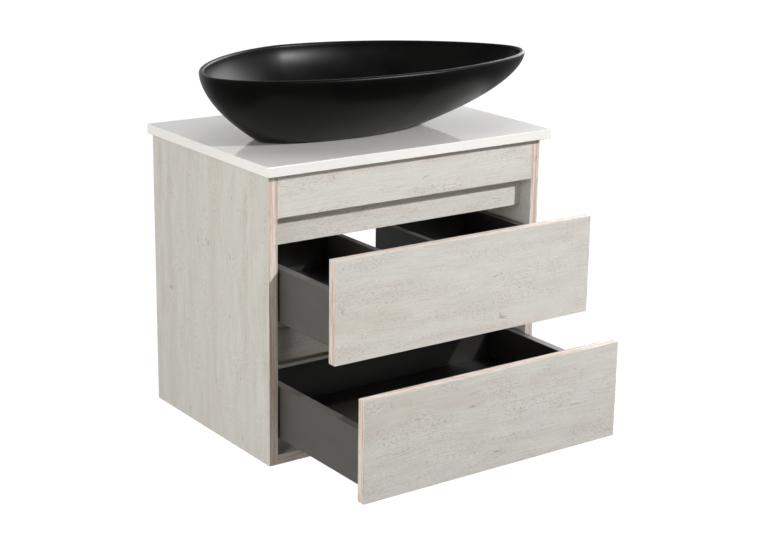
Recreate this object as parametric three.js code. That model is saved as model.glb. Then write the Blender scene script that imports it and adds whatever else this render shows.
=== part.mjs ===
// Wall-hung bathroom vanity with two open drawers and a black vessel basin.
//
// Millimetres, +Z up, +X to the right, the front faces -Y. The wall is the plane y = 0, and the origin is the
// centre of the hanging rail's back face, where the cabinet is fastened to the wall. Inside the vanity group,
// heights are counted from the underside of the cabinet.
//
// The drawers are modelled shut in groups of their own, then pulled out by UPPER_OPEN and LOWER_OPEN.

import * as THREE from "three";
import { mergeVertices } from "three/addons/utils/BufferGeometryUtils.js";

// ---------------------------------------------------------------- driving dimensions

const CABINET_WIDTH = 600;
const CABINET_DEPTH = 415;
const CABINET_HEIGHT = 530;
const BOARD = 18; // side panels, bottom, rails and drawer fronts

const TOP_WIDTH = 622;
const TOP_FRONT_OVERHANG = 18;
const TOP_THICKNESS = 18;

const FRONT_HEIGHT = 182; // each drawer front
const FRONT_WIDTH = 559;
const LOWER_FRONT_Z = 20;
const UPPER_FRONT_Z = 236;
const FINGER_GAP = 34; // open height above each drawer front
const RECESS_DEPTH = 30; // depth of the finger grooves
const RECESS_BOARD = 16;
const UPPER_RECESS_Z = 396;
const UPPER_RECESS_HEIGHT = 70;
const MIDDLE_RECESS_Z = 181;
const MIDDLE_RECESS_HEIGHT = 58;

const HANGING_RAIL_Z = 430;
const HANGING_RAIL_HEIGHT = 70;
const LOWER_BACK_RAIL_HEIGHT = 120;

const DRAWER_SIDE_GAP = 4; // from the side panel to the drawer box
const DRAWER_BOARD = 16;
const DRAWER_BOX_HEIGHT = 97;
const DRAWER_BOX_END = 360; // back of the box, from the cabinet's front edge
const DRAWER_BOX_LIFT = 29; // box underside above the front's lower edge
const DRAWER_BOTTOM_LIFT = 13; // room for the runners below the bottom
const DRAWER_BOTTOM_BOARD = 14;
const UPPER_OPEN = 174;
const LOWER_OPEN = 263;

const SIPHON_HALF_WIDTH = 54; // cut-out at the back of the upper drawer
const SIPHON_WALL = 13;
const SIPHON_WALL_TOP = 95; // above the box underside
const SIPHON_FRONT = 150; // where the cut-out starts, from the cabinet's front edge

const RUNNER_SHEET = 1.5;
const RUNNER_START = 20;
const RUNNER_LENGTH = 350;
const MIDDLE_START = 30;
const MIDDLE_LENGTH = 300;
const CLIP_LENGTH = 44;

const DRAIN_FROM_FRONT = 190; // drain centre, from the cabinet's front edge
const DRAIN_HOLE_RADIUS = 24;
const DRAIN_TUBE_RADIUS = 21;
const DRAIN_BORE_RADIUS = 16;
const DRAIN_FLANGE_RADIUS = 31;
const TAILPIPE_RADIUS = 16;

const BASIN_CENTRE = [-12, 1]; // centre of the rim's outline, from the drain's axis
const BASIN_TURN = THREE.MathUtils.degToRad(10); // the bowl sits a little turned on the countertop
const RIM_HALF_LENGTH = 325; // along X
const RIM_HALF_WIDTH = 201; // along Y
const RIM_FULLNESS = 1.75; // exponent of the rim's superellipse
const TIP_SWEEP = 125; // how far the right end is swept to the front
const RIM_HEIGHT = 134.5;
const RIM_SLOPE = 0.01; // the rim rises towards the tip
const RIM_THICKNESS = 9;
const RIM_ROUND = 4;
const WALL_ROUNDNESS = 1.7; // over 1, the wall bends upright towards the rim
const WALL_FLARE = 0.96; // under 1, the wall spreads out where it leaves the foot
const FOOT = { length: 0.52, width: 0.42, shift: [-36, 9] }; // shares of the rim's outline
const HEEL = { length: 0.52, width: 0.46, shift: [-31, 8] }; // where the inner wall meets the floor
const BOWL_FLOOR = 14; // height of the flat round the drain
const BOWL_HEEL = 20; // height of the heel
const BASIN_SEGMENTS = 96;

// ---------------------------------------------------------------- derived sizes

const INNER_HALF = CABINET_WIDTH / 2 - BOARD;
const FRONT_Y = -CABINET_DEPTH;
const HANG_HEIGHT = HANGING_RAIL_Z + HANGING_RAIL_HEIGHT / 2;
const BOX_HALF = INNER_HALF - DRAWER_SIDE_GAP;
const BOX_INNER_HALF = BOX_HALF - DRAWER_BOARD;
const DRAIN_Y = FRONT_Y + DRAIN_FROM_FRONT;

// ---------------------------------------------------------------- materials

function material(color, roughness, metalness = 0) {
  return new THREE.MeshStandardMaterial({ color, roughness, metalness });
}

const whitewashedWood = material(0xcfcac4, 0.6);
const whiteGloss = material(0xe6e5e3, 0.12);
const blackCeramic = material(0x1d1d1d, 0.4);
const greyBoard = material(0x5a5856, 0.6);
const zincSteel = material(0xb4b6b8, 0.35, 1);
const chrome = material(0xd8dadd, 0.1, 1);
const greyPlastic = material(0x8c8f92, 0.5);
const blackRubber = material(0x1a1a1a, 0.8);
const whitePlastic = material(0xeeeeec, 0.4);

// ---------------------------------------------------------------- helpers

const vanity = new THREE.Group();
vanity.position.z = -HANG_HEIGHT;

function addMesh(parent, name, geometry, meshMaterial) {
  const mesh = new THREE.Mesh(geometry, meshMaterial);
  mesh.name = name;
  parent.add(mesh);
  return mesh;
}

// A board given by its two limits along each axis.
function addBoard(parent, name, [x0, x1], [y0, y1], [z0, z1], meshMaterial) {
  const mesh = addMesh(parent, name, new THREE.BoxGeometry(x1 - x0, y1 - y0, z1 - z0), meshMaterial);
  mesh.position.set((x0 + x1) / 2, (y0 + y1) / 2, (z0 + z1) / 2);
  return mesh;
}

function outline(points) {
  const shape = new THREE.Shape();
  points.forEach(([x, y], index) => (index ? shape.lineTo(x, y) : shape.moveTo(x, y)));
  shape.closePath();
  return shape;
}

function circle(radius) {
  return new THREE.Path().absarc(0, 0, radius, 0, Math.PI * 2, true);
}

// A horizontal slab: the shape is drawn in X and Y, and z0 is its underside.
function slab(shape, z0, thickness, curveSegments = 24) {
  const geometry = new THREE.ExtrudeGeometry(shape, { depth: thickness, bevelEnabled: false, curveSegments });
  return geometry.translate(0, 0, z0);
}

// A bar along Y: the shape is drawn in X and Z, and the bar runs from y0 to y0 + length.
function barAlongY(shape, y0, length) {
  const geometry = new THREE.ExtrudeGeometry(shape, { depth: length, bevelEnabled: false });
  geometry.rotateX(Math.PI / 2);
  return geometry.translate(0, y0 + length, 0);
}

// A turned piece about Z from [radius, height] points, given once round the closed section.
function turned(points, segments = 40) {
  const section = [...points, points[0]].map(([radius, height]) => new THREE.Vector2(radius, height));
  return new THREE.LatheGeometry(section, segments).rotateX(Math.PI / 2);
}

// ---------------------------------------------------------------- cabinet

function addCabinet() {
  const fullDepth = [FRONT_Y, 0];
  const between = [-INNER_HALF, INNER_HALF];
  const fullHeight = [0, CABINET_HEIGHT];
  const outer = CABINET_WIDTH / 2;
  addBoard(vanity, "left_side_panel", [-outer, -INNER_HALF], fullDepth, fullHeight, whitewashedWood);
  addBoard(vanity, "right_side_panel", [INNER_HALF, outer], fullDepth, fullHeight, whitewashedWood);
  addBoard(vanity, "bottom_panel", between, fullDepth, [0, BOARD], whitewashedWood);

  const railBottom = UPPER_FRONT_Z + FRONT_HEIGHT + FINGER_GAP;
  const frontBoard = [FRONT_Y, FRONT_Y + BOARD];
  addBoard(vanity, "front_top_rail", between, frontBoard, [railBottom, CABINET_HEIGHT], whitewashedWood);

  const recessDepth = [FRONT_Y + RECESS_DEPTH, FRONT_Y + RECESS_DEPTH + RECESS_BOARD];
  const upperRecess = [UPPER_RECESS_Z, UPPER_RECESS_Z + UPPER_RECESS_HEIGHT];
  const middleRecess = [MIDDLE_RECESS_Z, MIDDLE_RECESS_Z + MIDDLE_RECESS_HEIGHT];
  addBoard(vanity, "upper_recess_rail", between, recessDepth, upperRecess, whitewashedWood);
  addBoard(vanity, "middle_recess_rail", between, recessDepth, middleRecess, whitewashedWood);

  const hangingRail = [HANGING_RAIL_Z, HANGING_RAIL_Z + HANGING_RAIL_HEIGHT];
  const lowerBackRail = [BOARD, BOARD + LOWER_BACK_RAIL_HEIGHT];
  addBoard(vanity, "hanging_rail", between, [-BOARD, 0], hangingRail, whitewashedWood);
  addBoard(vanity, "lower_back_rail", between, [-BOARD, 0], lowerBackRail, whitewashedWood);
}

// A concealed hanger sits in each upper back corner, and its hook reaches the wall over the hanging rail.
function addHangers() {
  const housing = { width: 16, depth: 42, below: 58, above: 24 };
  const hook = { width: 12, sheet: 3, lip: 12, wallGap: 1 };
  const railTop = HANGING_RAIL_Z + HANGING_RAIL_HEIGHT;
  for (const [side, sign] of [["left", -1], ["right", 1]]) {
    const across = (near, far) =>
      [sign * (INNER_HALF - near), sign * (INNER_HALF - far)].sort((a, b) => a - b);
    addBoard(
      vanity,
      `${side}_hanger_housing`,
      across(0, housing.width),
      [-BOARD - housing.depth, -BOARD],
      [railTop - housing.below, railTop + housing.above],
      whitePlastic,
    );
    const start = -BOARD;
    const end = -hook.wallGap;
    const top = railTop + housing.above - 2;
    const profile = [
      [start, top - hook.sheet],
      [end - hook.sheet, top - hook.sheet],
      [end - hook.sheet, top - hook.lip],
      [end, top - hook.lip],
      [end, top],
      [start, top],
    ];
    const geometry = new THREE.ExtrudeGeometry(outline(profile), { depth: hook.width, bevelEnabled: false });
    geometry.rotateX(Math.PI / 2).rotateZ(Math.PI / 2);
    const centre = sign * (INNER_HALF - housing.width / 2);
    geometry.translate(centre - hook.width / 2, 0, 0);
    addMesh(vanity, `${side}_hanger_hook`, geometry, zincSteel);
  }
}

function addCountertop() {
  const half = TOP_WIDTH / 2;
  const front = FRONT_Y - TOP_FRONT_OVERHANG - DRAIN_Y;
  const back = -DRAIN_Y;
  const shape = outline([[-half, front], [half, front], [half, back], [-half, back]]);
  shape.holes.push(circle(DRAIN_HOLE_RADIUS));
  const countertop = addMesh(vanity, "countertop", slab(shape, 0, TOP_THICKNESS), whiteGloss);
  countertop.position.set(0, DRAIN_Y, CABINET_HEIGHT);
}

// ---------------------------------------------------------------- basin

function signedPower(value, power) {
  return Math.sign(value) * Math.abs(value) ** power;
}

// Outline of the rim about its own centre: a superellipse with its right end swept to the front.
function rimOutline(angle) {
  const c = Math.cos(angle);
  const x = RIM_HALF_LENGTH * signedPower(c, 2 / RIM_FULLNESS);
  const y = RIM_HALF_WIDTH * signedPower(Math.sin(angle), 2 / RIM_FULLNESS);
  return new THREE.Vector2(x, y - TIP_SWEEP * ((1 + c) / 2) ** 3);
}

// The same outline drawn in by an inset, measured square to the outline.
function insetOutline(angle, inset) {
  const step = 0.01;
  const along = rimOutline(angle + step).sub(rimOutline(angle - step)).normalize();
  return rimOutline(angle).add(new THREE.Vector2(-along.y, along.x).multiplyScalar(inset));
}

function rimHeight(x) {
  return RIM_HEIGHT + RIM_SLOPE * x;
}

// A smaller copy of the outline, for the foot and for the heel inside the bowl.
function reducedOutline(angle, { length, width, shift }) {
  const point = rimOutline(angle);
  return new THREE.Vector2(point.x * length + shift[0], point.y * width + shift[1]);
}

// From the outline's own centre to the drain's axis.
function placed(point, height) {
  const turned = point.clone().rotateAround(new THREE.Vector2(), BASIN_TURN);
  return [turned.x + BASIN_CENTRE[0], turned.y + BASIN_CENTRE[1], height];
}

// One level of a wall that rounds up from a reduced outline, at level 0, to the inset rim, at level 1.
function wallRing(level, inset, reduction, startHeight) {
  const share = (1 - (1 - level) ** WALL_ROUNDNESS) ** WALL_FLARE;
  return (angle) => {
    const start = reducedOutline(angle, reduction);
    const point = start.lerp(insetOutline(angle, inset), share);
    const top = rimHeight(rimOutline(angle).x) - RIM_ROUND;
    return placed(point, startHeight + (top - startHeight) * level);
  };
}

// One ring of the rounded rim, at an inset from the outline and a drop from the rim's height.
function rimRing(inset, drop) {
  return (angle) => placed(insetOutline(angle, inset), rimHeight(rimOutline(angle).x) - drop);
}

function roundRing(radius, height) {
  return (angle) => [radius * Math.cos(angle), radius * Math.sin(angle), height];
}

// The floor runs from the round flat at the drain, at share 0, out to the heel of the inner wall.
function floorRing(share) {
  const flatRadius = DRAIN_FLANGE_RADIUS + 3;
  return (angle) => {
    const height = BOWL_FLOOR + (BOWL_HEEL - BOWL_FLOOR) * share ** 2;
    const [heelX, heelY] = placed(reducedOutline(angle, HEEL), height);
    const flat = new THREE.Vector2(Math.cos(angle), Math.sin(angle)).multiplyScalar(flatRadius);
    const point = flat.lerp(new THREE.Vector2(heelX, heelY), share);
    return [point.x, point.y, height];
  };
}

// A closed surface through rings of points, joined in order, with the last ring joined to the first.
function closedRings(rings, segments) {
  const positions = [];
  for (const ring of rings) {
    for (let i = 0; i < segments; i += 1) {
      positions.push(...ring((i / segments) * Math.PI * 2));
    }
  }
  const indices = [];
  for (let r = 0; r < rings.length; r += 1) {
    const here = r * segments;
    const next = ((r + 1) % rings.length) * segments;
    for (let i = 0; i < segments; i += 1) {
      const j = (i + 1) % segments;
      indices.push(here + i, here + j, next + j, here + i, next + j, next + i);
    }
  }
  const geometry = new THREE.BufferGeometry();
  geometry.setAttribute("position", new THREE.Float32BufferAttribute(positions, 3));
  geometry.setIndex(indices);
  return mergeVertices(geometry);
}

function basinGeometry() {
  const outerLevels = [0, 0.05, 0.12, 0.2, 0.3, 0.42, 0.55, 0.68, 0.8, 0.9, 1];
  const innerLevels = [1, 0.9, 0.8, 0.68, 0.55, 0.42, 0.3, 0.2, 0.12, 0.05];
  const rings = [
    roundRing(DRAIN_HOLE_RADIUS, 0),
    ...outerLevels.map((level) => wallRing(level, 0, FOOT, 0)),
    rimRing(RIM_ROUND * 0.3, RIM_ROUND * 0.3),
    rimRing(RIM_ROUND, 0),
    rimRing(RIM_THICKNESS - RIM_ROUND, 0),
    rimRing(RIM_THICKNESS - RIM_ROUND * 0.3, RIM_ROUND * 0.3),
    ...innerLevels.map((level) => wallRing(level, RIM_THICKNESS, HEEL, BOWL_HEEL)),
    ...[1, 0.6, 0.25, 0].map((share) => floorRing(share)),
    roundRing(DRAIN_HOLE_RADIUS, BOWL_FLOOR),
  ];
  return closedRings(rings, BASIN_SEGMENTS);
}

// ---------------------------------------------------------------- drain

function addBasinAndDrain() {
  const onTop = new THREE.Group();
  onTop.position.set(0, DRAIN_Y, CABINET_HEIGHT + TOP_THICKNESS);
  vanity.add(onTop);
  addMesh(onTop, "basin", basinGeometry(), blackCeramic);

  const gasketTop = BOWL_FLOOR + 1.5;
  const flangeTop = gasketTop + 2.5;
  const tubeEnd = -TOP_THICKNESS - 34;
  const clearance = 0.3;
  const gasket = turned([
    [DRAIN_TUBE_RADIUS + clearance, BOWL_FLOOR],
    [DRAIN_FLANGE_RADIUS - 1, BOWL_FLOOR],
    [DRAIN_FLANGE_RADIUS - 1, gasketTop],
    [DRAIN_TUBE_RADIUS + clearance, gasketTop],
  ]);
  addMesh(onTop, "drain_gasket", gasket, blackRubber);

  const drainBody = turned([
    [DRAIN_BORE_RADIUS, tubeEnd],
    [DRAIN_TUBE_RADIUS, tubeEnd],
    [DRAIN_TUBE_RADIUS, gasketTop],
    [DRAIN_FLANGE_RADIUS, gasketTop],
    [DRAIN_FLANGE_RADIUS, flangeTop - 1],
    [DRAIN_FLANGE_RADIUS - 2, flangeTop],
    [DRAIN_BORE_RADIUS + 3, flangeTop],
    [DRAIN_BORE_RADIUS, flangeTop - 3],
  ]);
  addMesh(onTop, "drain_body", drainBody, chrome);

  const plugRadius = 26;
  const plugBase = flangeTop + 0.6;
  const stemEnd = BOWL_FLOOR - 44;
  const plug = turned([
    [0, stemEnd],
    [4, stemEnd],
    [4, plugBase + 0.4],
    [plugRadius - 1.5, plugBase],
    [plugRadius, plugBase + 1.5],
    [plugRadius * 0.8, plugBase + 4],
    [plugRadius * 0.4, plugBase + 5.4],
    [0, plugBase + 5.8],
  ]);
  addMesh(onTop, "drain_plug", plug, chrome);

  const washerBottom = -TOP_THICKNESS - 3;
  const nutBottom = washerBottom - 9;
  const washer = turned([
    [DRAIN_TUBE_RADIUS + clearance, washerBottom],
    [DRAIN_FLANGE_RADIUS + 3, washerBottom],
    [DRAIN_FLANGE_RADIUS + 3, -TOP_THICKNESS],
    [DRAIN_TUBE_RADIUS + clearance, -TOP_THICKNESS],
  ]);
  addMesh(onTop, "drain_washer", washer, blackRubber);

  const hexagon = [0, 1, 2, 3, 4, 5].map((i) => {
    const angle = (i * Math.PI) / 3;
    return [DRAIN_FLANGE_RADIUS * Math.cos(angle), DRAIN_FLANGE_RADIUS * Math.sin(angle)];
  });
  const nutShape = outline(hexagon);
  nutShape.holes.push(circle(DRAIN_TUBE_RADIUS + clearance));
  addMesh(onTop, "drain_lock_nut", slab(nutShape, nutBottom, washerBottom - nutBottom), chrome);

  const tailpipe = turned([
    [TAILPIPE_RADIUS - 2, tubeEnd - 60],
    [TAILPIPE_RADIUS, tubeEnd - 60],
    [TAILPIPE_RADIUS, tubeEnd - 6],
    [TAILPIPE_RADIUS + 3, tubeEnd - 6],
    [TAILPIPE_RADIUS + 3, tubeEnd],
    [TAILPIPE_RADIUS - 2, tubeEnd],
  ]);
  addMesh(onTop, "drain_tailpipe", tailpipe, chrome);
}

// ---------------------------------------------------------------- runners

// Sections of the under-mounted runners, in X and Z. X counts from the side panel's inner face towards the
// middle of the cabinet, and Z from the underside of the drawer box.
const RUNNER_SECTIONS = {
  cabinet: [
    [0, -24], [RUNNER_SHEET, -24], [RUNNER_SHEET, -5], [39.5, -5],
    [39.5, -1], [38, -1], [38, -3.5], [0, -3.5],
  ],
  middle: [
    [22, -2.5], [37, -2.5], [37, 4.5], [35.5, 4.5],
    [35.5, -1], [23.5, -1], [23.5, 4.5], [22, 4.5],
  ],
  drawer: [
    [24.5, 0.5], [26, 0.5], [26, 11.5], [33, 11.5],
    [33, 0.5], [34.5, 0.5], [34.5, 13], [24.5, 13],
  ],
};

function runnerBar(section, sign, boxZ, y0, length) {
  const shape = outline(RUNNER_SECTIONS[section].map(([x, z]) => [sign * (INNER_HALF - x), z + boxZ]));
  return barAlongY(shape, y0, length);
}

function addRunners(drawerName, drawer, boxZ, openBy) {
  for (const [side, sign] of [["left", -1], ["right", 1]]) {
    const fixed = runnerBar("cabinet", sign, boxZ, FRONT_Y + RUNNER_START, RUNNER_LENGTH);
    addMesh(vanity, `${drawerName}_cabinet_runner_${side}`, fixed, zincSteel);

    const middleStart = FRONT_Y + MIDDLE_START - openBy / 2;
    const middle = runnerBar("middle", sign, boxZ, middleStart, MIDDLE_LENGTH);
    addMesh(vanity, `${drawerName}_middle_runner_${side}`, middle, zincSteel);

    const clipStart = BOARD;
    const clipEnd = clipStart + CLIP_LENGTH;
    const moving = runnerBar("drawer", sign, boxZ, clipEnd, DRAWER_BOX_END - clipEnd);
    addMesh(drawer, `${drawerName}_drawer_runner_${side}`, moving, zincSteel);

    const clipX = [sign * (INNER_HALF - 23), sign * (INNER_HALF - 36)].sort((a, b) => a - b);
    const clipZ = [boxZ + 5.5, boxZ + DRAWER_BOTTOM_LIFT];
    addBoard(drawer, `${drawerName}_clip_${side}`, clipX, [clipStart, clipEnd - 1], clipZ, greyPlastic);
  }
}

// ---------------------------------------------------------------- drawers

// Front and two sides. Inside the drawer's group, y = 0 is the cabinet's front edge with the drawer shut.
function addDrawerShell(drawerName, frontZ, openBy) {
  const drawer = new THREE.Group();
  drawer.position.y = FRONT_Y - openBy;
  vanity.add(drawer);
  const boxZ = frontZ + DRAWER_BOX_LIFT;
  const half = FRONT_WIDTH / 2;
  const frontHeight = [frontZ, frontZ + FRONT_HEIGHT];
  addBoard(drawer, `${drawerName}_front`, [-half, half], [0, BOARD], frontHeight, whitewashedWood);
  const length = [BOARD, DRAWER_BOX_END];
  const height = [boxZ, boxZ + DRAWER_BOX_HEIGHT];
  addBoard(drawer, `${drawerName}_side_left`, [-BOX_HALF, -BOX_INNER_HALF], length, height, greyBoard);
  addBoard(drawer, `${drawerName}_side_right`, [BOX_INNER_HALF, BOX_HALF], length, height, greyBoard);
  addRunners(drawerName, drawer, boxZ, openBy);
  return { drawer, boxZ };
}

function addLowerDrawer() {
  const name = "lower_drawer";
  const { drawer, boxZ } = addDrawerShell(name, LOWER_FRONT_Z, LOWER_OPEN);
  const across = [-BOX_INNER_HALF, BOX_INNER_HALF];
  const bottomZ = boxZ + DRAWER_BOTTOM_LIFT;
  const bottomTop = bottomZ + DRAWER_BOTTOM_BOARD;
  addBoard(drawer, `${name}_bottom`, across, [BOARD, DRAWER_BOX_END], [bottomZ, bottomTop], greyBoard);
  const backDepth = [DRAWER_BOX_END - DRAWER_BOARD, DRAWER_BOX_END];
  addBoard(drawer, `${name}_back`, across, backDepth, [bottomTop, boxZ + DRAWER_BOX_HEIGHT], greyBoard);
}

// The upper drawer is cut out at the back, so that it passes the pipe under the basin.
function addUpperDrawer() {
  const name = "upper_drawer";
  const { drawer, boxZ } = addDrawerShell(name, UPPER_FRONT_Z, UPPER_OPEN);
  const bottomZ = boxZ + DRAWER_BOTTOM_LIFT;
  const bottomTop = bottomZ + DRAWER_BOTTOM_BOARD;
  const cut = SIPHON_HALF_WIDTH;
  const wall = cut + SIPHON_WALL;

  const uShape = outline([
    [-BOX_INNER_HALF, BOARD],
    [BOX_INNER_HALF, BOARD],
    [BOX_INNER_HALF, DRAWER_BOX_END],
    [cut, DRAWER_BOX_END],
    [cut, SIPHON_FRONT],
    [-cut, SIPHON_FRONT],
    [-cut, DRAWER_BOX_END],
    [-BOX_INNER_HALF, DRAWER_BOX_END],
  ]);
  addMesh(drawer, `${name}_bottom`, slab(uShape, bottomZ, DRAWER_BOTTOM_BOARD), greyBoard);

  const backDepth = [DRAWER_BOX_END - DRAWER_BOARD, DRAWER_BOX_END];
  const backHeight = [bottomTop, boxZ + DRAWER_BOX_HEIGHT];
  addBoard(drawer, `${name}_back_left`, [-BOX_INNER_HALF, -wall], backDepth, backHeight, greyBoard);
  addBoard(drawer, `${name}_back_right`, [wall, BOX_INNER_HALF], backDepth, backHeight, greyBoard);

  const wallHeight = [bottomTop, boxZ + SIPHON_WALL_TOP];
  const wallDepth = [SIPHON_FRONT, DRAWER_BOX_END];
  addBoard(drawer, `${name}_siphon_wall_left`, [-wall, -cut], wallDepth, wallHeight, greyBoard);
  addBoard(drawer, `${name}_siphon_wall_right`, [cut, wall], wallDepth, wallHeight, greyBoard);
  const crossDepth = [SIPHON_FRONT - SIPHON_WALL, SIPHON_FRONT];
  addBoard(drawer, `${name}_siphon_wall_front`, [-wall, wall], crossDepth, wallHeight, greyBoard);
}

// ---------------------------------------------------------------- assembly

addCabinet();
addHangers();
addCountertop();
addBasinAndDrain();
addUpperDrawer();
addLowerDrawer();

export default vanity;
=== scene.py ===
"""Looks of the wall-hung bathroom vanity with two open drawers and a black vessel basin.

Metres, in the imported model's frame: +Z up, the front faces -Y, the wall is the plane y = 0. Every piece
takes its place and its size from the CAD node that it stands for. Smaller details are given in millimetres.
"""

import math

import bmesh
import bpy
from mathutils import Matrix, Vector


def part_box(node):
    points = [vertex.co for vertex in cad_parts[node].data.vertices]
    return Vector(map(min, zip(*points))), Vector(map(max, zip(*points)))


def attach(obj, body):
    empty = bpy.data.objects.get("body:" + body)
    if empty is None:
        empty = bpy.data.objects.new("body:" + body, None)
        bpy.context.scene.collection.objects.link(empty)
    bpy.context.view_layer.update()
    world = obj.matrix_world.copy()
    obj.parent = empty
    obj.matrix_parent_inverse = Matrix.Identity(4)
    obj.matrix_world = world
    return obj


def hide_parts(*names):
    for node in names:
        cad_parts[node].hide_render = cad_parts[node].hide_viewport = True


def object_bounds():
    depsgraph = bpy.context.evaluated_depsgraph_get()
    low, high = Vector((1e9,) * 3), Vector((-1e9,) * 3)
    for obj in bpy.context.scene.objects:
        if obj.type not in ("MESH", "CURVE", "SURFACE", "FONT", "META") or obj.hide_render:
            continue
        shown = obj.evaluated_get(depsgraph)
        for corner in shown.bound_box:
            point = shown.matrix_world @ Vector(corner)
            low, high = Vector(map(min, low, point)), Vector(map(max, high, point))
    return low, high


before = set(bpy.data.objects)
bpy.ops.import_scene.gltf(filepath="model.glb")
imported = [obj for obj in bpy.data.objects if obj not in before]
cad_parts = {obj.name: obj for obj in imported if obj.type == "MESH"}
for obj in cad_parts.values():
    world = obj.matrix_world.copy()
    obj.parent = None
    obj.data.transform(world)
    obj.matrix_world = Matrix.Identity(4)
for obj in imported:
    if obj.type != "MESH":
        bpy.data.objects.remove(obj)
cad_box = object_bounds()

MM = 0.001
X, Y, Z = 0, 1, 2

# ---------------------------------------------------------------- camera

FOCAL_LENGTH = 79.86
CAMERA_PLACE = Vector((-1.7625, -2.8051, 0.7247))
CAMERA_YAW = math.radians(-36.332)
CAMERA_PITCH = math.radians(-15.801)
CAMERA_ROLL = math.radians(1.058)
CAMERA_SHIFT = (-0.0331, -0.0261)


def add_camera():
    camera = bpy.data.objects.new("camera", bpy.data.cameras.new("camera"))
    bpy.context.scene.collection.objects.link(camera)
    camera.data.lens = FOCAL_LENGTH
    camera.data.sensor_width = 36.0
    camera.data.shift_x, camera.data.shift_y = CAMERA_SHIFT
    camera.data.clip_start, camera.data.clip_end = 0.05, 100.0
    facing = Matrix.Rotation(CAMERA_YAW, 4, "Z") @ Matrix.Rotation(math.pi / 2 + CAMERA_PITCH, 4, "X")
    turned = facing @ Matrix.Rotation(CAMERA_ROLL, 4, "Z")
    camera.matrix_world = Matrix.Translation(CAMERA_PLACE) @ turned
    bpy.context.scene.camera = camera


# ---------------------------------------------------------------- material helpers


class Finish:
    """A material in the making: a Principled shader and short ways to add nodes before it."""

    def __init__(self, name, **sockets):
        self.material = bpy.data.materials.new(name)
        self.material.use_nodes = True
        self.tree = self.material.node_tree
        self.tree.nodes.clear()
        self.shader = self.add("ShaderNodeBsdfPrincipled")
        output = self.add("ShaderNodeOutputMaterial")
        self.tree.links.new(self.shader.outputs["BSDF"], output.inputs["Surface"])
        for socket, value in sockets.items():
            self.shader.inputs[socket.replace("_", " ")].default_value = value

    def add(self, kind, **settings):
        node = self.tree.nodes.new(kind)
        for setting, value in settings.items():
            setattr(node, setting, value)
        return node

    def feed(self, socket, value):
        if hasattr(value, "is_linked"):
            self.tree.links.new(value, socket)
        else:
            socket.default_value = value

    def drive(self, socket, value):
        self.feed(self.shader.inputs[socket], value)

    def grain(self):
        """Metres along the grain, across it, and through the board or tape, from the mesh."""
        return self.add("ShaderNodeAttribute", attribute_name="grain").outputs["Vector"]

    def place(self):
        return self.add("ShaderNodeTexCoord").outputs["Object"]

    def split(self, vector):
        node = self.add("ShaderNodeSeparateXYZ")
        self.feed(node.inputs[0], vector)
        return node.outputs

    def join(self, x, y, z):
        node = self.add("ShaderNodeCombineXYZ")
        for socket, value in zip(node.inputs, (x, y, z)):
            self.feed(socket, value)
        return node.outputs[0]

    def stretch(self, vector, factors):
        node = self.add("ShaderNodeVectorMath", operation="MULTIPLY")
        self.feed(node.inputs[0], vector)
        self.feed(node.inputs[1], factors)
        return node.outputs[0]

    def math(self, operation, a, b=0.0, c=0.0):
        node = self.add("ShaderNodeMath", operation=operation)
        for socket, value in zip(node.inputs, (a, b, c)):
            self.feed(socket, value)
        return node.outputs[0]

    def noise(self, vector, scale=1.0, detail=2.0, roughness=0.5):
        node = self.add("ShaderNodeTexNoise")
        self.feed(node.inputs["Vector"], vector)
        node.inputs["Scale"].default_value = scale
        node.inputs["Detail"].default_value = detail
        node.inputs["Roughness"].default_value = roughness
        return node.outputs["Fac"]

    def span(self, value, low, high, to_low=0.0, to_high=1.0):
        """A value mapped smoothly from low..high to to_low..to_high."""
        node = self.add("ShaderNodeMapRange", interpolation_type="SMOOTHSTEP")
        for socket, number in zip(node.inputs, (value, low, high, to_low, to_high)):
            self.feed(socket, number)
        return node.outputs[0]

    def blend(self, share, a, b):
        node = self.add("ShaderNodeMix", data_type="RGBA")
        self.feed(node.inputs[0], share)
        self.feed(node.inputs[6], a)
        self.feed(node.inputs[7], b)
        return node.outputs[2]

    def bump(self, height, strength, distance):
        node = self.add("ShaderNodeBump")
        node.inputs["Strength"].default_value = strength
        node.inputs["Distance"].default_value = distance
        self.feed(node.inputs["Height"], height)
        self.drive("Normal", node.outputs[0])


def colour(red, green, blue):
    """A colour given as on a screen, 0 to 255, as the shader wants it."""
    channels = [c / 255 for c in (red, green, blue)]
    return tuple(c / 12.92 if c <= 0.04045 else ((c + 0.055) / 1.055) ** 2.4 for c in channels) + (1.0,)


# ---------------------------------------------------------------- materials


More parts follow.
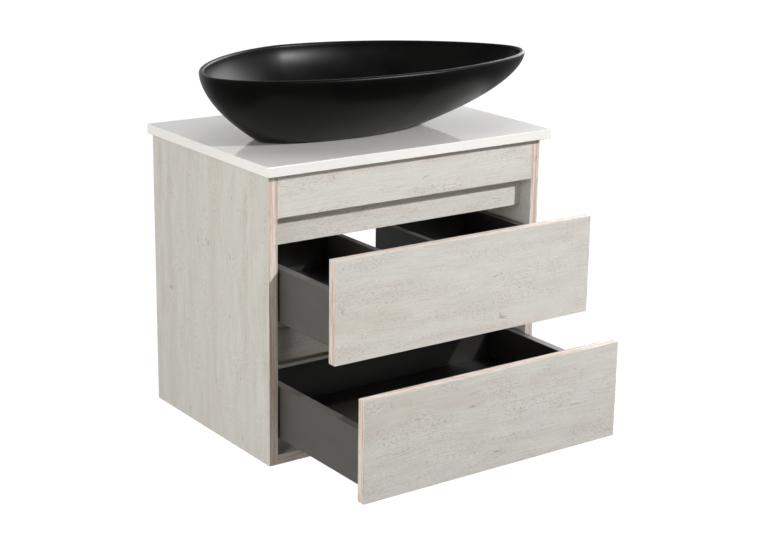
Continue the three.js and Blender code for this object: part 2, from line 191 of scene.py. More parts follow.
def whitewashed_wood():
    """Sawn softwood under a thin white wash: pale bands, open pores and short cracks along the grain."""
    f = Finish("whitewashed_wood", IOR=1.45)
    flat = f.grain()
    sway = f.noise(f.stretch(flat, (2.4, 7.0, 1.0)), detail=1.0)
    along, across, through = f.split(flat)
    swayed = f.math("MULTIPLY_ADD", f.math("SUBTRACT", sway, 0.5), 0.05, across)
    grain = f.join(along, swayed, through)

    bands = f.noise(f.stretch(grain, (1.2, 26.0, 1.0)), detail=3.0)
    wash = f.blend(f.span(bands, 0.42, 0.64), colour(211, 211, 206), colour(206, 202, 195))
    cloudy = f.noise(f.stretch(grain, (9.0, 30.0, 1.0)), detail=4.0)
    wash = f.blend(f.span(cloudy, 0.4, 0.72, 0.0, 0.6), wash, colour(221, 219, 215))

    streaks = f.noise(f.stretch(grain, (14.0, 520.0, 1.0)), detail=4.0, roughness=0.65)
    wash = f.blend(f.span(streaks, 0.4, 0.7, 0.0, 0.42), wash, colour(190, 181, 172))

    clusters = f.noise(f.stretch(grain, (9.0, 26.0, 1.0)), detail=4.0, roughness=0.6)
    pores = f.noise(f.stretch(grain, (150.0, 950.0, 1.0)), detail=2.0, roughness=0.75)
    pore_mask = f.math("MULTIPLY", f.span(pores, 0.54, 0.63), f.span(clusters, 0.42, 0.64, 0.24, 1.0))
    pore_tint = f.noise(f.stretch(grain, (60.0, 80.0, 1.0)))
    pore_colour = f.blend(pore_tint, colour(112, 96, 86), colour(176, 136, 114))
    wash = f.blend(f.math("MULTIPLY", pore_mask, 0.66), wash, pore_colour)

    rings = f.noise(f.stretch(grain, (4.5, 70.0, 1.0)), detail=0.0)
    crack_line = f.span(f.math("ABSOLUTE", f.math("SUBTRACT", rings, 0.5)), 0.0, 0.012, 1.0, 0.0)
    crack_place = f.noise(f.stretch(grain, (24.0, 44.0, 3.0)), detail=2.0)
    cracks = f.math("MULTIPLY", crack_line, f.span(crack_place, 0.56, 0.66))
    wash = f.blend(f.math("MULTIPLY", cracks, 0.5), wash, colour(132, 116, 104))
    f.drive("Base Color", wash)

    f.drive("Roughness", f.span(streaks, 0.2, 0.8, 0.5, 0.66))
    relief = f.math("SUBTRACT", streaks, f.math("ADD", pore_mask, cracks))
    f.bump(relief, 0.35, 0.4 * MM)
    return f.material


GLUE_LINE = 6.6 * MM  # from the middle of the tape


def edge_tape():
    """The pinkish tape on the edges of the whitewashed boards: streaks along it, and dark glue lines."""
    f = Finish("edge_tape", IOR=1.45)
    tape = f.grain()
    _, across, _ = f.split(tape)
    streaks = f.noise(f.stretch(tape, (6.0, 230.0, 1.0)), detail=4.0, roughness=0.6)
    body = f.blend(f.span(streaks, 0.4, 0.62), colour(229, 219, 212), colour(199, 176, 161))
    dashes = f.noise(f.stretch(tape, (45.0, 480.0, 1.0)), detail=1.0)
    body = f.blend(f.span(dashes, 0.58, 0.68, 0.0, 0.45), body, colour(162, 134, 116))
    from_line = f.math("ABSOLUTE", f.math("SUBTRACT", f.math("ABSOLUTE", across), GLUE_LINE))
    glue = f.span(from_line, 0.0, 0.7 * MM, 0.3, 0.0)
    body = f.blend(glue, body, colour(158, 128, 106))
    f.drive("Base Color", body)
    f.drive("Roughness", f.span(streaks, 0.2, 0.8, 0.42, 0.58))
    f.bump(streaks, 0.25, 0.25 * MM)
    return f.material


def white_gloss():
    """The countertop: white lacquer polished to a mirror, with a trace of cloudiness and orange peel."""
    f = Finish("white_gloss", IOR=1.5)
    place = f.place()
    cloud = f.noise(place, 9.0, 3.0)
    f.drive("Base Color", f.blend(f.span(cloud, 0.3, 0.7), colour(238, 237, 234), colour(243, 242, 240)))
    f.drive("Roughness", f.span(f.noise(place, 34.0, 3.0), 0.3, 0.7, 0.035, 0.07))
    f.bump(f.noise(place, 120.0, 1.0), 0.02, 0.2 * MM)
    return f.material


def black_ceramic():
    """The basin: satin black glaze with very fine, slightly rough grain."""
    f = Finish("black_ceramic", IOR=1.5, Specular_IOR_Level=0.13)
    place = f.place()
    cloud = f.noise(place, 14.0, 4.0)
    f.drive("Base Color", f.blend(f.span(cloud, 0.3, 0.7), colour(6, 6, 6), colour(10, 10, 9)))
    satin = f.noise(place, 900.0, 2.0, 0.6)
    f.drive("Roughness", f.span(cloud, 0.3, 0.7, 0.34, 0.4))
    f.bump(satin, 0.06, 0.1 * MM)
    return f.material


def grey_board(name, light, dark, rough, sheen=0.8):
    """Dark grey melamine of the drawer boxes, with the fine print of the paper."""
    f = Finish(name, IOR=1.5, Specular_IOR_Level=sheen)
    grain = f.grain()
    fibre = f.noise(f.stretch(grain, (160.0, 900.0, 1.0)), detail=3.0)
    mottle = f.noise(f.stretch(grain, (12.0, 26.0, 1.0)), detail=4.0)
    shade = f.math("ADD", f.math("MULTIPLY", fibre, 0.5), f.math("MULTIPLY", mottle, 0.5))
    f.drive("Base Color", f.blend(f.span(shade, 0.35, 0.65), dark, light))
    f.drive("Roughness", f.span(fibre, 0.3, 0.7, rough, rough + 0.1))
    f.bump(fibre, 0.12, 0.1 * MM)
    return f.material


def zinc_steel():
    """Galvanised sheet: soft spangle, and fine drawing lines along the bar."""
    f = Finish("zinc_steel", Metallic=1.0)
    place = f.place()
    spangle = f.noise(place, 160.0, 2.0)
    lines = f.noise(f.stretch(place, (1500.0, 12.0, 1500.0)), detail=2.0)
    shade = f.span(spangle, 0.35, 0.65)
    f.drive("Base Color", f.blend(shade, colour(168, 171, 174), colour(196, 198, 200)))
    f.drive("Roughness", f.span(lines, 0.3, 0.7, 0.3, 0.46))
    f.bump(lines, 0.08, 0.05 * MM)
    return f.material


def chrome():
    f = Finish("chrome", Metallic=1.0)
    smear = f.noise(f.place(), 60.0, 3.0)
    f.drive("Base Color", f.blend(f.span(smear, 0.3, 0.7), colour(214, 216, 219), colour(226, 228, 230)))
    f.drive("Roughness", f.span(smear, 0.3, 0.7, 0.06, 0.13))
    return f.material


def moulded_plastic(name, light, dark):
    f = Finish(name, IOR=1.46)
    place = f.place()
    mottle = f.noise(place, 70.0, 3.0)
    f.drive("Base Color", f.blend(f.span(mottle, 0.3, 0.7), dark, light))
    texture = f.noise(place, 1400.0, 2.0)
    f.drive("Roughness", f.span(mottle, 0.3, 0.7, 0.38, 0.5))
    f.bump(texture, 0.1, 0.08 * MM)
    return f.material


def black_rubber():
    f = Finish("black_rubber", IOR=1.5)
    place = f.place()
    dust = f.noise(place, 200.0, 4.0)
    f.drive("Base Color", f.blend(f.span(dust, 0.4, 0.7), colour(24, 24, 24), colour(44, 43, 42)))
    f.drive("Roughness", f.span(dust, 0.3, 0.7, 0.65, 0.85))
    f.bump(dust, 0.15, 0.1 * MM)
    return f.material


WOOD = [whitewashed_wood(), edge_tape()]
GREY = [
    grey_board("grey_board", colour(78, 76, 72), colour(71, 69, 66), 0.42),
    grey_board("grey_board_edge", colour(92, 90, 87), colour(84, 82, 79), 0.4),
    # The third is the same grey board painted darker: painted shade for the inside faces of the drawer
    # boxes.
    grey_board("grey_board_inside_shade", colour(36, 35, 34), colour(30, 29, 28), 0.45, 0.45),
]
GLOSS = white_gloss()
CERAMIC = black_ceramic()
ZINC = zinc_steel()
CHROME = chrome()
RUBBER = black_rubber()
WHITE_PLASTIC = moulded_plastic("white_plastic", colour(236, 236, 233), colour(228, 228, 224))
GREY_PLASTIC = moulded_plastic("grey_plastic", colour(146, 149, 152), colour(134, 137, 140))

# ---------------------------------------------------------------- shape helpers

SHARP_ANGLE = math.radians(25)
TURNED_SIDES = 96
FILLET_STEPS = 4
GRAIN_STEPS = (7.31, 3.77, 2.13)  # how far apart two boards lie in the grain's own space
EDGE_STEP = 1.7


def piece(name, mesh, body, materials, nodes=()):
    """An object for a mesh that is already in place: shaded smooth, painted, riding on its body."""
    made = bpy.data.objects.new(name, mesh)
    bpy.context.scene.collection.objects.link(made)
    for material in materials:
        mesh.materials.append(material)
    for face in mesh.polygons:
        face.use_smooth = True
    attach(made, body)
    if nodes:
        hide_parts(*nodes)
    return made


def weigh_normals(made):
    """Flat faces stay flat and their narrow bevels carry the whole turn."""
    modifier = made.modifiers.new("weighted_normals", "WEIGHTED_NORMAL")
    modifier.weight = 100
    return made


def mesh_from(builder, name):
    bmesh.ops.recalc_face_normals(builder, faces=builder.faces)
    mesh = bpy.data.meshes.new(name)
    builder.to_mesh(mesh)
    builder.free()
    return mesh


def prism(name, loops, low, high, axis=Z, bevel=0.5 * MM, steps=2):
    """A bar along an axis. Its outline and holes are points on the other two axes, in order."""
    builder = bmesh.new()
    edges = []
    for loop in loops:
        corners = [builder.verts.new((a, b, 0.0)) for a, b in loop]
        edges += [builder.edges.new(pair) for pair in zip(corners, corners[1:] + corners[:1])]
    if len(loops) == 1:
        builder.faces.new(builder.verts)
    else:
        bmesh.ops.triangle_fill(builder, edges=edges, use_beauty=True, use_dissolve=False)
    grown = bmesh.ops.extrude_face_region(builder, geom=list(builder.faces))
    lifted = [item for item in grown["geom"] if isinstance(item, bmesh.types.BMVert)]
    bmesh.ops.translate(builder, verts=lifted, vec=(0.0, 0.0, high - low))
    others = [a for a in (X, Y, Z) if a != axis]
    for vert in builder.verts:
        a, b, c = vert.co
        place = [0.0, 0.0, 0.0]
        place[others[0]], place[others[1]], place[axis] = a, b, c + low
        vert.co = place
    bmesh.ops.recalc_face_normals(builder, faces=builder.faces)
    if bevel:
        sharp = [e for e in builder.edges if e.is_manifold and e.calc_face_angle(0.0) > SHARP_ANGLE]
        settings = {"profile": 0.5, "affect": "EDGES", "clamp_overlap": True}
        bmesh.ops.bevel(builder, geom=sharp, offset=bevel, segments=steps, **settings)
    return mesh_from(builder, name)


def turned(name, profile, centre):
    """A turned mesh about Z through a closed section of [radius, height] points."""
    builder = bmesh.new()
    rings = []
    for radius, height in profile:
        if radius < 1e-7:
            rings.append([builder.verts.new((centre.x, centre.y, centre.z + height))])
            continue
        ring = []
        for i in range(TURNED_SIDES):
            angle = 2 * math.pi * i / TURNED_SIDES
            x, y = centre.x + radius * math.cos(angle), centre.y + radius * math.sin(angle)
            ring.append(builder.verts.new((x, y, centre.z + height)))
        rings.append(ring)
    open_ended = len(rings[0]) == 1 and len(rings[-1]) == 1
    pairs = list(zip(rings, rings[1:])) + ([] if open_ended else [(rings[-1], rings[0])])
    for ring, following in pairs:
        skin(builder, ring, following)
    return mesh_from(builder, name)


def skin(builder, ring, following):
    """Faces between two closed rings, either of which may be a single point."""
    count = max(len(ring), len(following))
    for i in range(count):
        j = (i + 1) % count
        if len(ring) == 1:
            builder.faces.new((ring[0], following[j], following[i]))
        elif len(following) == 1:
            builder.faces.new((ring[i], ring[j], following[0]))
        else:
            builder.faces.new((ring[i], ring[j], following[j], following[i]))


def fillet(points, radius):
    """A section with its corners rounded, given once round."""
    rounded = []
    count = len(points)
    for i, corner in enumerate(points):
        corner = Vector(corner)
        before, after = Vector(points[i - 1]) - corner, Vector(points[(i + 1) % count]) - corner
        reach = min(radius, before.length * 0.45, after.length * 0.45)
        start, end = corner + before.normalized() * reach, corner + after.normalized() * reach
        for step in range(FILLET_STEPS + 1):
            t = step / FILLET_STEPS
            rounded.append(tuple(start * (1 - t) ** 2 + corner * 2 * t * (1 - t) + end * t**2))
    return rounded


def map_grain(made, along, through, seed):
    """Writes the grain's own coordinates into the mesh. Edges of the board get the second material."""
    mesh = made.data
    places = [v.co for v in mesh.vertices]
    middle = [(min(p[a] for p in places) + max(p[a] for p in places)) / 2 for a in (X, Y, Z)]
    across = 3 - along - through
    values = [0.0] * (3 * len(mesh.loops))
    steps = [step * seed for step in GRAIN_STEPS]
    for face in mesh.polygons:
        facing = max((X, Y, Z), key=lambda a: abs(face.normal[a]))
        on_edge = facing != through
        length = 3 - facing - through if on_edge else along
        width = through if on_edge else across
        face.material_index = 1 if on_edge and len(mesh.materials) > 1 else 0
        for loop in face.loop_indices:
            place = mesh.vertices[mesh.loops[loop].vertex_index].co
            values[3 * loop] = place[length] + steps[0] + EDGE_STEP * facing * on_edge
            values[3 * loop + 1] = place[width] - middle[width] + (0.0 if on_edge else steps[1])
            values[3 * loop + 2] = steps[2]
    mesh.attributes.new("grain", "FLOAT_VECTOR", "CORNER").data.foreach_set("vector", values)


def rectangle(low, high, through):
    """The outline of a board seen along its thickness, and its limits along it."""
    a, b = [axis for axis in (X, Y, Z) if axis != through]
    loop = [(low[a], low[b]), (high[a], low[b]), (high[a], high[b]), (low[a], high[b])]
    return [loop], low[through], high[through]


def board(node, body, materials, along, through, seed, bevel):
    low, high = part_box(node)
    mesh = prism(f"{node}_board", *rectangle(low, high, through), axis=through, bevel=bevel)
    made = piece(f"{node}_board", mesh, body, materials, [node])
    map_grain(made, along, through, seed)
    return weigh_normals(made)


# ---------------------------------------------------------------- boards

WOODEN_BOARDS = {
    "left_side_panel": ("cabinet", Z, X),
    "right_side_panel": ("cabinet", Z, X),
    "bottom_panel": ("cabinet", X, Z),
    "front_top_rail": ("cabinet", X, Y),
    "upper_recess_rail": ("cabinet", X, Y),
    "middle_recess_rail": ("cabinet", X, Y),
    "hanging_rail": ("cabinet", X, Y),
    "lower_back_rail": ("cabinet", X, Y),
    "upper_drawer_front": ("upper_drawer", X, Y),
    "lower_drawer_front": ("lower_drawer", X, Y),
}

GREY_BOARDS = {
    "upper_drawer_side_left": ("upper_drawer", Y, X),
    "upper_drawer_side_right": ("upper_drawer", Y, X),
    "upper_drawer_back_left": ("upper_drawer", X, Y),
    "upper_drawer_back_right": ("upper_drawer", X, Y),
    "upper_drawer_siphon_wall_left": ("upper_drawer", Y, X),
    "upper_drawer_siphon_wall_right": ("upper_drawer", Y, X),
    "upper_drawer_siphon_wall_front": ("upper_drawer", X, Y),
    "lower_drawer_side_left": ("lower_drawer", Y, X),
    "lower_drawer_side_right": ("lower_drawer", Y, X),
    "lower_drawer_bottom": ("lower_drawer", X, Z),
    "lower_drawer_back": ("lower_drawer", X, Y),
}

UPPER_BOTTOM_SEED = 20


def paint_inside_shade(made, drawer):
    """The faces towards the inside of a drawer's box get the third material: painted shade, a darker copy
    of the grey board for the dim inside of the box.
    """
    low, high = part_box(f"{drawer}_side_left")[0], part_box(f"{drawer}_side_right")[1]
    middle = (low + high) / 2
    for face in made.data.polygons:
        if face.material_index == 0 and face.normal.dot(middle - face.center) > 0:
            face.material_index = 2


def add_boards():
    for seed, (node, (body, along, through)) in enumerate(WOODEN_BOARDS.items()):
        board(node, body, WOOD, along, through, seed, 0.7 * MM)
    for seed, (node, (body, along, through)) in enumerate(GREY_BOARDS.items()):
        made = board(node, body, GREY, along, through, seed, 0.6 * MM)
        paint_inside_shade(made, body)


def add_upper_bottom():
    """The upper drawer's bottom, cut out between the two siphon walls."""
    low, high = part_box("upper_drawer_bottom")
    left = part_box("upper_drawer_siphon_wall_left")[1].x
    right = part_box("upper_drawer_siphon_wall_right")[0].x
    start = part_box("upper_drawer_siphon_wall_front")[1].y
    outline = [
        (low.x, low.y),
        (high.x, low.y),
        (high.x, high.y),
        (right, high.y),
        (right, start),
        (left, start),
        (left, high.y),
        (low.x, high.y),
    ]
    mesh = prism("upper_drawer_bottom_board", [outline], low.z, high.z, Z, 0.6 * MM)
    made = piece(
        "upper_drawer_bottom_board", mesh, "upper_drawer", GREY, ["upper_drawer_bottom"]
    )
    map_grain(made, X, Z, UPPER_BOTTOM_SEED)
    paint_inside_shade(made, "upper_drawer")
    weigh_normals(made)


# ---------------------------------------------------------------- countertop and basin

DRAIN = (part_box("drain_body")[0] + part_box("drain_body")[1]) / 2
TOP_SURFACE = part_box("countertop")[1].z
HOLE_RADIUS = 24 * MM

BASIN_CENTRE = Vector((-12.0, 1.0)) * MM
BASIN_TURN = math.radians(10)
RIM_HALF_LENGTH = 325 * MM
RIM_HALF_WIDTH = 201 * MM
RIM_FULLNESS = 1.75
TIP_SWEEP = 125 * MM
RIM_HEIGHT = 134.5 * MM
RIM_SLOPE = 0.01
RIM_THICKNESS = 9 * MM
RIM_ROUND = 4.4 * MM
WALL_ROUNDNESS = 1.7
WALL_FLARE = 0.96
# Shares of the rim's length and width, and how far the middle moves. The inner wall ends at the heel.
FOOT = (0.52, 0.42, Vector((-36 * MM, 9 * MM)))
HEEL = (0.52, 0.46, Vector((-31 * MM, 8 * MM)))
BOWL_FLOOR = 14 * MM
BOWL_HEEL = 20 * MM
FLAT_RADIUS = 34 * MM
BASIN_SEGMENTS = 256
WALL_LEVELS = 32
RIM_STEPS = 5
FLOOR_SHARES = (1.0, 0.85, 0.7, 0.55, 0.4, 0.25, 0.12, 0.0)


def round_the_drain(radius, count):
    """Points on a circle about the drain, seen from above."""
    angles = [2 * math.pi * i / count for i in range(count)]
    return [(DRAIN.x + radius * math.cos(a), DRAIN.y + radius * math.sin(a)) for a in angles]


def add_countertop():
    low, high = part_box("countertop")
    loops, bottom, top = rectangle(low, high, Z)
    loops.append(round_the_drain(HOLE_RADIUS, 72))
    mesh = prism("countertop_slab", loops, bottom, top, Z, 1.0 * MM, 3)
    weigh_normals(piece("countertop_slab", mesh, "cabinet", [GLOSS], ["countertop"]))


def signed_power(value, power):
    return math.copysign(abs(value) ** power, value)


def rim_outline(angle):
    """The rim about its own centre: a superellipse with its right end swept to the front."""
    c = math.cos(angle)
    x = RIM_HALF_LENGTH * signed_power(c, 2 / RIM_FULLNESS)
    y = RIM_HALF_WIDTH * signed_power(math.sin(angle), 2 / RIM_FULLNESS)
    return Vector((x, y - TIP_SWEEP * ((1 + c) / 2) ** 3))


def inset_outline(angle, inset):
    step = 0.01
    along = (rim_outline(angle + step) - rim_outline(angle - step)).normalized()
    return rim_outline(angle) + Vector((-along.y, along.x)) * inset


def rim_height(x):
    return RIM_HEIGHT + RIM_SLOPE * x


def reduced_outline(angle, share):
    length, width, shift = share
    point = rim_outline(angle)
    return Vector((point.x * length, point.y * width)) + shift


def on_countertop(point, height):
    """From the rim's own centre to the row's frame."""
    c, s = math.cos(BASIN_TURN), math.sin(BASIN_TURN)
    x = point.x * c - point.y * s + BASIN_CENTRE.x + DRAIN.x
    y = point.x * s + point.y * c + BASIN_CENTRE.y + DRAIN.y
    return Vector((x, y, TOP_SURFACE + height))


def wall_ring(level, inset, share, start_height):
    """One level of a wall that rounds up from a reduced outline, at 0, to the inset rim, at 1."""
    spread = (1 - (1 - level) ** WALL_ROUNDNESS) ** WALL_FLARE

    def at(angle):
        point = reduced_outline(angle, share).lerp(inset_outline(angle, inset), spread)
        top = rim_height(rim_outline(angle).x) - RIM_ROUND
        return on_countertop(point, start_height + (top - start_height) * level)

    return at


def rim_ring(inset, drop):
    return lambda angle: on_countertop(
        inset_outline(angle, inset), rim_height(rim_outline(angle).x) - drop
    )


def round_ring(radius, height):
    return lambda angle: Vector(
        (DRAIN.x + radius * math.cos(angle), DRAIN.y + radius * math.sin(angle), TOP_SURFACE + height)
    )


def floor_ring(share):
    def at(angle):
        height = BOWL_FLOOR + (BOWL_HEEL - BOWL_FLOOR) * share**2
        heel = on_countertop(reduced_outline(angle, HEEL), height)
        return round_ring(FLAT_RADIUS, height)(angle).lerp(heel, share)

    return at


def add_basin():
    rounding = [math.radians(90) * i / RIM_STEPS for i in range(1, RIM_STEPS + 1)]
    outer = [i / WALL_LEVELS for i in range(WALL_LEVELS + 1)]
    inner = outer[:0:-1]
    rings = [round_ring(HOLE_RADIUS, 0.0), round_ring(HOLE_RADIUS + 40 * MM, 0.0)]
    rings += [wall_ring(level, 0.0, FOOT, 0.0) for level in outer]
    turn = [(RIM_ROUND * (1 - math.cos(a)), RIM_ROUND * (1 - math.sin(a))) for a in rounding]
    rings += [rim_ring(inset, drop) for inset, drop in turn]
    rings += [rim_ring(RIM_THICKNESS - inset, drop) for inset, drop in reversed(turn[:-1])]
    rings += [wall_ring(level, RIM_THICKNESS, HEEL, BOWL_HEEL) for level in inner]
    rings += [floor_ring(share) for share in FLOOR_SHARES]
    rings += [round_ring(HOLE_RADIUS + 1 * MM, BOWL_FLOOR), round_ring(HOLE_RADIUS, BOWL_FLOOR - 1 * MM)]

    builder = bmesh.new()
    angles = [2 * math.pi * i / BASIN_SEGMENTS for i in range(BASIN_SEGMENTS)]
    made = [[builder.verts.new(ring(angle)) for angle in angles] for ring in rings]
    for ring, following in zip(made, made[1:] + made[:1]):
        skin(builder, ring, following)
    piece("basin_bowl", mesh_from(builder, "basin_bowl"), "cabinet", [CERAMIC], ["basin"])


# ---------------------------------------------------------------- drain

DRAIN_BORE = 16 * MM
DRAIN_TUBE = 21 * MM
DRAIN_FLANGE = 31 * MM
ROUND_THE_TUBE = 21.3 * MM
TAILPIPE_RADIUS = 16 * MM
ARC_STEPS = 6
CROWN_STEPS = 14


def threaded(radius, low, high, pitch, depth):
    """Section points of a threaded wall, from low to high."""
    points = []
    height = low
    while height + pitch <= high:
        points += [(radius - depth, height), (radius, height + pitch * 0.4), (radius, height + pitch * 0.6)]
        height += pitch
    return points + [(radius - depth, height)]


def add_drain():
    centre = Vector((DRAIN.x, DRAIN.y, TOP_SURFACE))
    bore, tube, flange = DRAIN_BORE, DRAIN_TUBE, DRAIN_FLANGE
    tube_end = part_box("drain_body")[0].z - TOP_SURFACE
    flange_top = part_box("drain_body")[1].z - TOP_SURFACE
    flange_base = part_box("drain_gasket")[1].z - TOP_SURFACE

    body = [(bore, tube_end + 0.8 * MM), (bore + 0.8 * MM, tube_end), (tube - 0.8 * MM, tube_end)]
    body += threaded(tube, tube_end + 1 * MM, -6 * MM, 1.8 * MM, 0.7 * MM)
    body += [(tube - 0.7 * MM, flange_base), (flange - 0.4 * MM, flange_base)]
    body += [(flange, flange_base + 0.4 * MM)]
    arc = [math.radians(90) * step / ARC_STEPS for step in range(ARC_STEPS + 1)]
    lip = flange_top - 1.7 * MM
    body += [(flange - 2 * MM * (1 - math.cos(a)), lip + 1.7 * MM * math.sin(a)) for a in arc]
    body += [(bore + 3.4 * MM * (1 - math.sin(a)), flange_top - 3 * MM * (1 - math.cos(a))) for a in arc]
    mesh = turned("drain_body_turned", body, centre)
    piece("drain_body_turned", mesh, "cabinet", [CHROME], ["drain_body"])

    low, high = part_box("drain_plug")
    plug_low, plug_high = low.z - TOP_SURFACE, high.z - TOP_SURFACE
    plug_radius = (high.x - low.x) / 2
    base = flange_top + 0.6 * MM
    plug = [(0.0, plug_low), (3.4 * MM, plug_low), (4 * MM, plug_low + 0.6 * MM)]
    plug += threaded(4 * MM, plug_low + 1 * MM, plug_low + 16 * MM, 1.2 * MM, 0.4 * MM)
    plug += [(4 * MM, plug_low + 18 * MM), (4 * MM, base + 0.3 * MM), (plug_radius - 1.5 * MM, base)]
    plug += [(plug_radius - 0.5 * MM, base + 0.3 * MM), (plug_radius, base + 1.1 * MM)]
    crown = base + 1.9 * MM
    rise = plug_high - crown
    for step in range(1, CROWN_STEPS + 1):
        angle = step / CROWN_STEPS * math.pi / 2
        across = plug_radius * math.cos(angle) if step < CROWN_STEPS else 0.0
        plug.append((across, crown + rise * math.sin(angle) ** 1.2))
    mesh = turned("drain_plug_cap", plug, centre)
    piece("drain_plug_cap", mesh, "drain_plug", [CHROME], ["drain_plug"])

    for node in ("drain_gasket", "drain_washer"):
        low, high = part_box(node)
        hole, radius = ROUND_THE_TUBE, (high.x - low.x) / 2
        bottom, top = low.z - TOP_SURFACE, high.z - TOP_SURFACE
        section = fillet([(hole, bottom), (radius, bottom), (radius, top), (hole, top)], 0.7 * MM)
        name = f"{node}_ring"
        piece(name, turned(name, section, centre), "cabinet", [RUBBER], [node])

    low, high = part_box("drain_lock_nut")
    outlines = [round_the_drain(flange, 6), round_the_drain(ROUND_THE_TUBE, 72)]
    mesh = prism("drain_lock_nut_hexagon", outlines, low.z, high.z, Z, 1.2 * MM, 3)
    weigh_normals(piece("drain_lock_nut_hexagon", mesh, "cabinet", [CHROME], ["drain_lock_nut"]))

    low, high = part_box("drain_tailpipe")
    bottom, top = low.z - TOP_SURFACE, high.z - TOP_SURFACE
    outer = TAILPIPE_RADIUS
    section = [
        (outer - 2 * MM, bottom),
        (outer, bottom),
        (outer, top - 6 * MM),
        (outer + 3 * MM, top - 6 * MM),
        (outer + 3 * MM, top),
        (outer - 2 * MM, top),
    ]
    mesh = turned("drain_tailpipe_tube", fillet(section, 0.5 * MM), centre)
    piece("drain_tailpipe_tube", mesh, "cabinet", [CHROME], ["drain_tailpipe"])


# ---------------------------------------------------------------- runners

# Sections across each member, in millimetres: from its outer side towards the cabinet's middle, and up.
RUNNER_SECTIONS = {
    "cabinet": [(0, 0), (1.5, 0), (1.5, 19), (39.5, 19), (39.5, 23), (38, 23), (38, 20.5), (0, 20.5)],
    "middle": [(0, 0), (15, 0), (15, 7), (13.5, 7), (13.5, 1.5), (1.5, 1.5), (1.5, 7), (0, 7)],
    "drawer": [(0, 0), (1.5, 0), (1.5, 11), (8.5, 11), (8.5, 0), (10, 0), (10, 12.5), (0, 12.5)],
}
RUNNER_SHEET = 1.5 * MM
SCREW_SHARES = (0.1, 0.42, 0.88)  # where the screws sit along a runner
SCREW_HEAD = ((1, 0.0), (1, 0.12), (0.94, 0.3), (0.75, 0.5), (0.5, 0.62))  # in radii: distance, height
SCREW_SIDES = 32


def runner(node, section, sign, body):
    low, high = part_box(node)
    outer = low.x if sign < 0 else high.x
    loop = [(outer - sign * x * MM, low.z + z * MM) for x, z in RUNNER_SECTIONS[section]]
    mesh = prism(f"{node}_bar", [loop], low.y, high.y, Y, 0.4 * MM)
    weigh_normals(piece(f"{node}_bar", mesh, body, [ZINC], [node]))


def screw_head(name, place, facing, radius, body):
    """A pan head with a cross recess, standing on a face that looks along `facing`."""
    builder = bmesh.new()
    turns = [2 * math.pi * i / SCREW_SIDES for i in range(SCREW_SIDES)]
    previous = None
    for share, height in SCREW_HEAD:
        across, level = radius * share, height * radius
        ring = [builder.verts.new((across * math.cos(a), across * math.sin(a), level)) for a in turns]
        if previous:
            skin(builder, previous, ring)
        else:
            builder.faces.new(ring)
        previous = ring
    arms = []
    for i, a in enumerate(turns):
        reach = radius * {0: 0.44, 1: 0.3, 7: 0.3}.get(i % 8, 0.16)
        arms.append(builder.verts.new((reach * math.cos(a), reach * math.sin(a), 0.64 * radius)))
    skin(builder, previous, arms)
    sunk = [builder.verts.new((v.co.x * 0.8, v.co.y * 0.8, 0.2 * radius)) for v in arms]
    skin(builder, arms, sunk)
    builder.faces.new(sunk)
    turn = Vector((0, 0, 1)).rotation_difference(Vector(facing)).to_matrix().to_4x4()
    bmesh.ops.transform(builder, matrix=Matrix.Translation(place) @ turn, verts=builder.verts)
    made = piece(name, mesh_from(builder, name), body, [ZINC])
    made.modifiers.new("bevel", "BEVEL").width = 0.1 * MM
    weigh_normals(made)


def add_runners():
    for drawer in ("upper_drawer", "lower_drawer"):
        for side, sign in (("left", -1), ("right", 1)):
            fixed = f"{drawer}_cabinet_runner_{side}"
            runner(fixed, "cabinet", sign, "cabinet")
            runner(f"{drawer}_middle_runner_{side}", "middle", sign, f"{drawer}_middle_runner_{side}")
            runner(f"{drawer}_drawer_runner_{side}", "drawer", sign, drawer)
            low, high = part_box(fixed)
            face = low.x + RUNNER_SHEET if sign < 0 else high.x - RUNNER_SHEET
            for number, share in enumerate(SCREW_SHARES):
                place = Vector((face, low.y + (high.y - low.y) * share, low.z + 9 * MM))
                screw_head(f"{fixed}_screw_{number}", place, (-sign, 0, 0), 3.6 * MM, "cabinet")
            add_clip(f"{drawer}_clip_{side}", drawer)


def add_clip(node, body):
    """The release clip: a block with a stepped thumb lever at its front."""
    low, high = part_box(node)
    step = 9 * MM
    lever = low.z + 0.45 * (high.z - low.z)
    profile = [
        (low.y, low.z),
        (high.y, low.z),
        (high.y, high.z),
        (low.y + step, high.z),
        (low.y + step * 0.8, lever),
        (low.y, lever),
    ]
    mesh = prism(f"{node}_block", [profile], low.x, high.x, X, 0.8 * MM, 3)
    weigh_normals(piece(f"{node}_block", mesh, body, [GREY_PLASTIC], [node]))


# ---------------------------------------------------------------- hangers


def add_hangers():
    for side in ("left", "right"):
        node = f"{side}_hanger_housing"
        low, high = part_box(node)
        mesh = prism(f"{node}_case", *rectangle(low, high, Y), axis=Y, bevel=1.6 * MM, steps=3)
        weigh_normals(piece(f"{node}_case", mesh, "cabinet", [WHITE_PLASTIC], [node]))
        middle = (low.x + high.x) / 2
        for number, share in enumerate((0.3, 0.66)):
            place = Vector((middle, low.y, low.z + (high.z - low.z) * share))
            screw_head(f"{node}_screw_{number}", place, (0, -1, 0), 3.4 * MM, "cabinet")

        node = f"{side}_hanger_hook"
        low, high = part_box(node)
        sheet = 3 * MM
        profile = [
            (low.y, high.z - sheet),
            (high.y - sheet, high.z - sheet),
            (high.y - sheet, low.z),
            (high.y, low.z),
            (high.y, high.z),
            (low.y, high.z),
        ]
        mesh = prism(f"{node}_strip", [profile], low.x, high.x, X, 0.7 * MM, 3)
        weigh_normals(piece(f"{node}_strip", mesh, "cabinet", [ZINC], [node]))


# ---------------------------------------------------------------- stage and light

STAGE_RADIUS = 14.0
FLOOR_DROP = 0.25


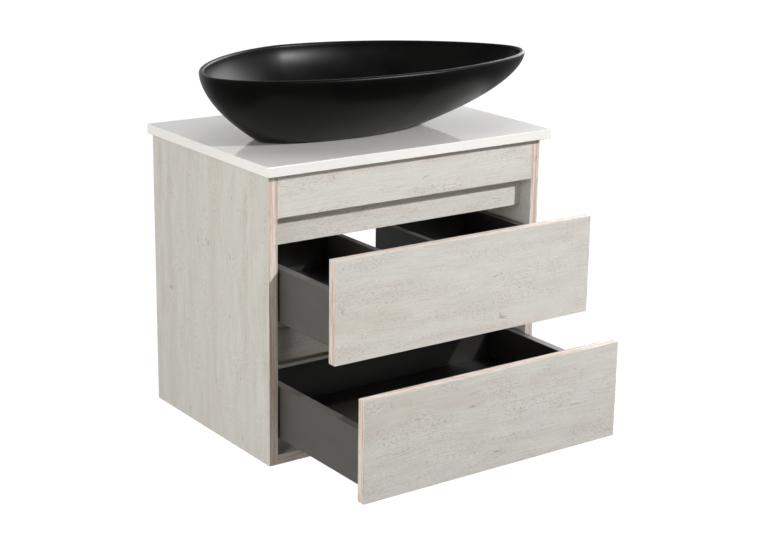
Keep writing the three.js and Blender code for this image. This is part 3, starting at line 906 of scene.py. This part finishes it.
def add_stage():
    """A pale floor and a white surround. Both glow, and the vanity takes no light from them."""
    floor_height = cad_box[0].z - FLOOR_DROP
    builder = bmesh.new()
    bmesh.ops.create_circle(builder, cap_ends=True, segments=128, radius=STAGE_RADIUS)
    bmesh.ops.translate(builder, verts=builder.verts, vec=(0.0, 0.0, floor_height))
    floor = bpy.data.objects.new("floor", mesh_from(builder, "floor"))
    builder = bmesh.new()
    bmesh.ops.create_uvsphere(builder, u_segments=64, v_segments=32, radius=STAGE_RADIUS)
    surround = bpy.data.objects.new("surround", mesh_from(builder, "surround"))
    for made in (floor, surround):
        bpy.context.scene.collection.objects.link(made)
        made.visible_diffuse = made.visible_glossy = made.visible_shadow = False

    paint = Finish("floor_paint", Roughness=1.0, Specular_IOR_Level=0.0, Emission_Strength=0.985)
    shade = paint.noise(paint.place(), 3.0)
    paint.drive("Base Color", paint.blend(shade, (0.07, 0.07, 0.07, 1), (0.08, 0.08, 0.08, 1)))
    paint.shader.inputs["Emission Color"].default_value = (1, 1, 1, 1)
    floor.data.materials.append(paint.material)
    glow = Finish("surround_glow", Roughness=1.0, Specular_IOR_Level=0.0, Emission_Strength=1.06)
    glow.shader.inputs["Base Color"].default_value = (0, 0, 0, 1)
    glow.shader.inputs["Emission Color"].default_value = (1, 1, 1, 1)
    surround.data.materials.append(glow.material)


def add_light(name, place, target, size, power, shape="RECTANGLE"):
    lamp = bpy.data.lights.new(name, "AREA")
    lamp.shape = shape
    lamp.size, lamp.size_y = size
    lamp.energy = power
    made = bpy.data.objects.new(name, lamp)
    bpy.context.scene.collection.objects.link(made)
    made.location = place
    made.rotation_mode = "QUATERNION"
    made.rotation_quaternion = (Vector(target) - Vector(place)).to_track_quat("-Z", "Y")
    return made


def add_world():
    """Bright behind the vanity, less so beside it, and dark in front of it and below."""
    world = bpy.data.worlds.new("studio")
    bpy.context.scene.world = world
    world.use_nodes = True
    tree = world.node_tree
    tree.nodes.clear()

    def add(kind, **settings):
        node = tree.nodes.new(kind)
        for setting, value in settings.items():
            setattr(node, setting, value)
        return node

    def span(value, low, high, to_low, to_high):
        node = add("ShaderNodeMapRange", interpolation_type="SMOOTHSTEP")
        tree.links.new(value, node.inputs[0])
        for socket, number in zip(node.inputs[1:5], (low, high, to_low, to_high)):
            socket.default_value = number
        return node.outputs[0]

    def combine(operation, a, b):
        node = add("ShaderNodeMath", operation=operation)
        tree.links.new(a, node.inputs[0])
        tree.links.new(b, node.inputs[1])
        return node.outputs[0]

    way = add("ShaderNodeSeparateXYZ")
    tree.links.new(add("ShaderNodeTexCoord").outputs["Generated"], way.inputs[0])
    behind = span(way.outputs[1], -0.2, 0.5, 0.05, 0.95)
    left = span(way.outputs[0], -0.95, -0.3, 0.4, 0.05)
    right = span(way.outputs[0], 0.5, 0.95, 0.05, 0.6)
    beside = combine("MAXIMUM", left, right)
    level = span(way.outputs[2], -0.5, 0.0, 0.55, 1.0)
    strength = combine("MULTIPLY", combine("MAXIMUM", behind, beside), level)
    background = add("ShaderNodeBackground")
    tree.links.new(strength, background.inputs["Strength"])
    tree.links.new(background.outputs[0], add("ShaderNodeOutputWorld").inputs["Surface"])


def add_lights():
    """One small key, three soft fills that reflections don't show, and two sheens that only they show."""
    middle = Vector((0.0, -0.3, -0.1))
    add_light("key", (1.51, -3.015, 1.695), middle, (0.11, 0.11), 101, "DISK")
    left_fill = add_light("left_fill", (-2.5, -1.1, 0.4), middle, (1.8, 1.8), 42)
    left_fill.data.color = (1.0, 0.97, 0.92)
    top_fill = add_light("top_fill", (0.0, -0.5, 2.6), middle, (1.6, 1.6), 12)
    front_fill = add_light("front_fill", (0.2, -4.2, 0.9), middle, (3.0, 3.0), 22)
    front_fill.data.color = (1.0, 0.93, 0.84)
    for fill in (left_fill, top_fill, front_fill):
        fill.visible_glossy = False
    key_sheen = add_light("key_sheen", (1.2, -2.9, 1.75), middle, (1.3, 1.1), 110)
    right_sheen = add_light("right_sheen", (2.4, 0.6, 1.0), middle, (1.8, 1.4), 50)
    for sheen in (key_sheen, right_sheen):
        sheen.visible_diffuse = False


# ---------------------------------------------------------------- assembly

add_camera()
add_boards()
add_upper_bottom()
add_countertop()
add_basin()
add_drain()
add_runners()
add_hangers()
add_stage()
add_world()
add_lights()
bpy.context.scene.view_settings.view_transform = "Standard"
